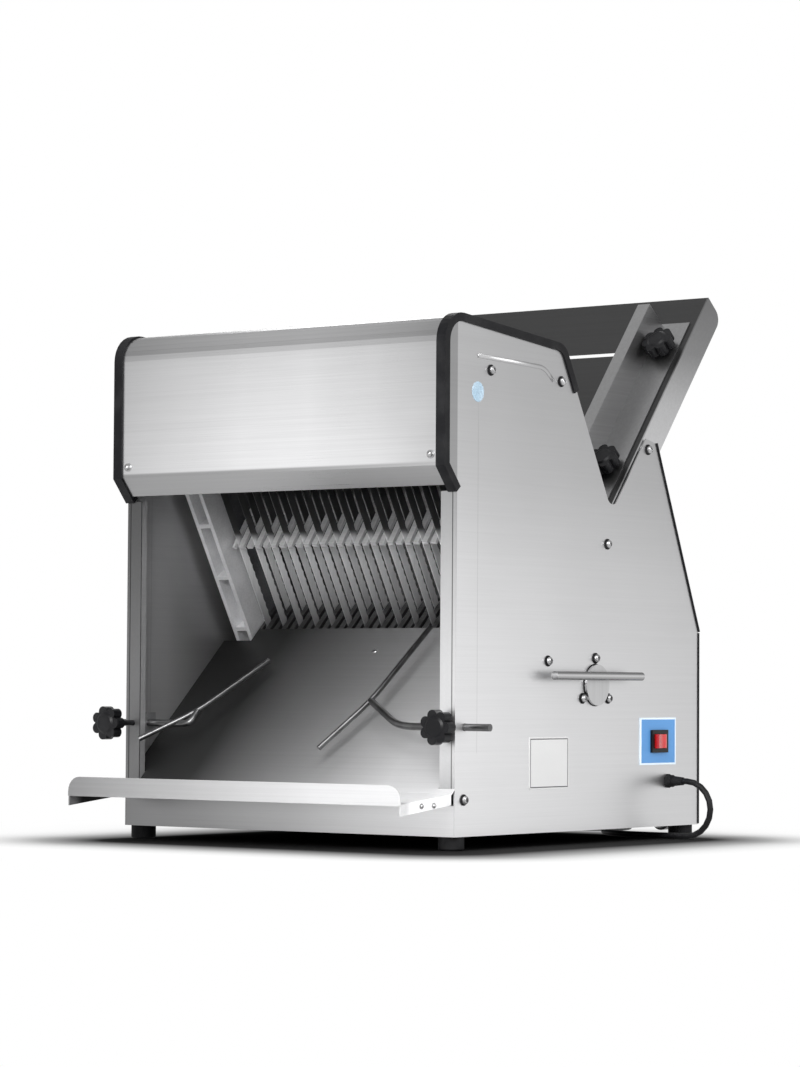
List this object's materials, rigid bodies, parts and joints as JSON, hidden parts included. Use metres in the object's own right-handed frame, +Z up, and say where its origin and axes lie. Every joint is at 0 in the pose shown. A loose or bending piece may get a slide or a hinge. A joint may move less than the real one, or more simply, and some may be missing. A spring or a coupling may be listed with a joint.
{
  "type": "bread slicer machine",
  "caption": "Countertop bread slicer with stainless body, inclined feed chute, two reciprocating knife frames, slotted combs and a receiving tray with adjustable exit guides",
  "frame": {"origin": "On the floor, midway between the four feet", "axes": "+X to the machine's right, +Y to its rear where the loaf goes in, +Z up"},
  "size_m": [0.5549, 0.7497, 0.6376],
  "materials": {
    "body_steel": "brushed stainless sheet",
    "bright_steel": "polished steel",
    "blade_steel": "thin ground strip",
    "comb_steel": "dull slotted plate",
    "cast_alloy": "as cast",
    "machined_steel": "machined",
    "cast_iron": "painted casting",
    "motor_paint": "satin grey",
    "black_rubber": "matte",
    "black_plastic": "moulded",
    "blue_plate": "bare printed plate",
    "red_plastic": "gloss"
  },
  "bodies": {
    "machine_body": {"base_pan": "body_steel", "right_side_panel": "body_steel", "left_side_panel": "body_steel", "front_apron": "body_steel", "rear_cover": "body_steel", "hood": "body_steel", "head_back_plate": "body_steel", "receiving_tray": "body_steel", "feed_chute": "body_steel", "handle_boss": "body_steel", "chute_spacers": "body_steel", "motor_plate": "body_steel", "guide_rods": "bright_steel", "panel_screws": "bright_steel", "cover_screws": "bright_steel", "crank_bearings": "bright_steel", "upper_comb": "comb_steel", "lower_comb": "comb_steel", "guide_rod_brackets": "cast_alloy", "right_exit_clamp": "cast_alloy", "left_exit_clamp": "cast_alloy", "crank_stands": "cast_iron", "motor": "motor_paint", "feet": "black_rubber", "drive_belt": "black_rubber", "cable_gland": "black_rubber", "cord_lead": "black_rubber", "cord_coil": "black_rubber", "right_edge_trim": "black_plastic", "left_edge_trim": "black_plastic", "rear_edge_trims": "black_plastic", "switch_bezel": "black_plastic", "mains_plug": "black_plastic", "cord_tie": "black_plastic", "switch_plate": "blue_plate"},
    "front_knife_frame": {"front_side_bars": "cast_alloy", "front_blade_holders": "machined_steel", "front_blades": "blade_steel", "front_yoke": "machined_steel"},
    "rear_knife_frame": {"rear_side_bars": "cast_alloy", "rear_blade_holders": "machined_steel", "rear_blades": "blade_steel", "rear_yoke": "machined_steel"},
    "crank": {"crankshaft": "machined_steel", "crank_rollers": "bright_steel", "driven_pulley": "cast_iron"},
    "motor_rotor": {"motor_pulley": "cast_iron"},
    "right_loaf_guide_body": {"right_loaf_guide": "body_steel"},
    "left_loaf_guide_body": {"left_loaf_guide": "body_steel"},
    "right_upper_knob_body": {"right_upper_knob": "black_plastic"},
    "right_lower_knob_body": {"right_lower_knob": "black_plastic"},
    "left_upper_knob_body": {"left_upper_knob": "black_plastic"},
    "left_lower_knob_body": {"left_lower_knob": "black_plastic"},
    "right_exit_guide_body": {"right_exit_guide": "bright_steel"},
    "left_exit_guide_body": {"left_exit_guide": "bright_steel"},
    "right_exit_knob_body": {"right_exit_knob": "black_plastic"},
    "left_exit_knob_body": {"left_exit_knob": "black_plastic"},
    "turn_handle_body": {"turn_handle": "bright_steel"},
    "rocker_body": {"switch_rocker": "red_plastic"}
  },
  "joints": [
    {"name": "crank_turn", "type": "hinge", "parent": "machine_body", "child": "crank", "pos_m": [0, 0.036, 0.1291], "axis": [1, 0, 0], "range_deg": [-71.62, 71.62]},
    {"name": "front_knife_stroke", "type": "slide", "parent": "machine_body", "child": "front_knife_frame", "axis": [0, -0.5, 0.866], "range_m": [-0.0101, 0.0101]},
    {"name": "rear_knife_stroke", "type": "slide", "parent": "machine_body", "child": "rear_knife_frame", "axis": [0, -0.5, 0.866], "range_m": [-0.0101, 0.0101]},
    {"name": "motor_turn", "type": "hinge", "parent": "machine_body", "child": "motor_rotor", "pos_m": [0, 0.175, 0.095], "axis": [1, 0, 0], "range_deg": [-180, 180]},
    {"name": "right_loaf_guide_slide", "type": "slide", "parent": "machine_body", "child": "right_loaf_guide_body", "axis": [1, 0, 0], "range_m": [-0.125, 0.004]},
    {"name": "left_loaf_guide_slide", "type": "slide", "parent": "machine_body", "child": "left_loaf_guide_body", "axis": [1, 0, 0], "range_m": [-0.004, 0.125]},
    {"name": "right_upper_knob_turn", "type": "hinge", "parent": "right_loaf_guide_body", "child": "right_upper_knob_body", "pos_m": [0.1978, 0.21763, 0.57214], "axis": [0, -0.7766, 0.6299], "range_deg": [-180, 180]},
    {"name": "right_lower_knob_turn", "type": "hinge", "parent": "right_loaf_guide_body", "child": "right_lower_knob_body", "pos_m": [0.1978, 0.09983, 0.42691], "axis": [0, -0.7766, 0.6299], "range_deg": [-180, 180]},
    {"name": "left_upper_knob_turn", "type": "hinge", "parent": "left_loaf_guide_body", "child": "left_upper_knob_body", "pos_m": [-0.1978, 0.21763, 0.57214], "axis": [0, -0.7766, 0.6299], "range_deg": [-180, 180]},
    {"name": "left_lower_knob_turn", "type": "hinge", "parent": "left_loaf_guide_body", "child": "left_lower_knob_body", "pos_m": [-0.1978, 0.09983, 0.42691], "axis": [0, -0.7766, 0.6299], "range_deg": [-180, 180]},
    {"name": "right_exit_guide_slide", "type": "slide", "parent": "machine_body", "child": "right_exit_guide_body", "axis": [1, 0, 0], "range_m": [-0.03, 0.045]},
    {"name": "left_exit_guide_slide", "type": "slide", "parent": "machine_body", "child": "left_exit_guide_body", "axis": [1, 0, 0], "range_m": [-0.006, 0.03]},
    {"name": "right_exit_knob_turn", "type": "hinge", "parent": "machine_body", "child": "right_exit_knob_body", "pos_m": [0.22, -0.245, 0.131], "axis": [0, 1, 0], "range_deg": [-180, 180]},
    {"name": "left_exit_knob_turn", "type": "hinge", "parent": "machine_body", "child": "left_exit_knob_body", "pos_m": [-0.22, -0.245, 0.131], "axis": [0, 1, 0], "range_deg": [-180, 180]},
    {"name": "turn_handle_swing", "type": "hinge", "parent": "machine_body", "child": "turn_handle_body", "pos_m": [0.23, 0.011, 0.187], "axis": [1, 0, 0], "range_deg": [-60, 60]},
    {"name": "rocker_tilt", "type": "hinge", "parent": "machine_body", "child": "rocker_body", "pos_m": [0.23, 0.156, 0.113], "axis": [0, 0, 1], "range_deg": [-18, 0]}
  ],
  "couplings": [
    {"joint": "front_knife_stroke", "follows": "crank_turn", "m_per_rad": -0.008},
    {"joint": "rear_knife_stroke", "follows": "crank_turn", "m_per_rad": 0.008},
    {"joint": "motor_turn", "follows": "crank_turn", "ratio": 2.5}
  ]
}
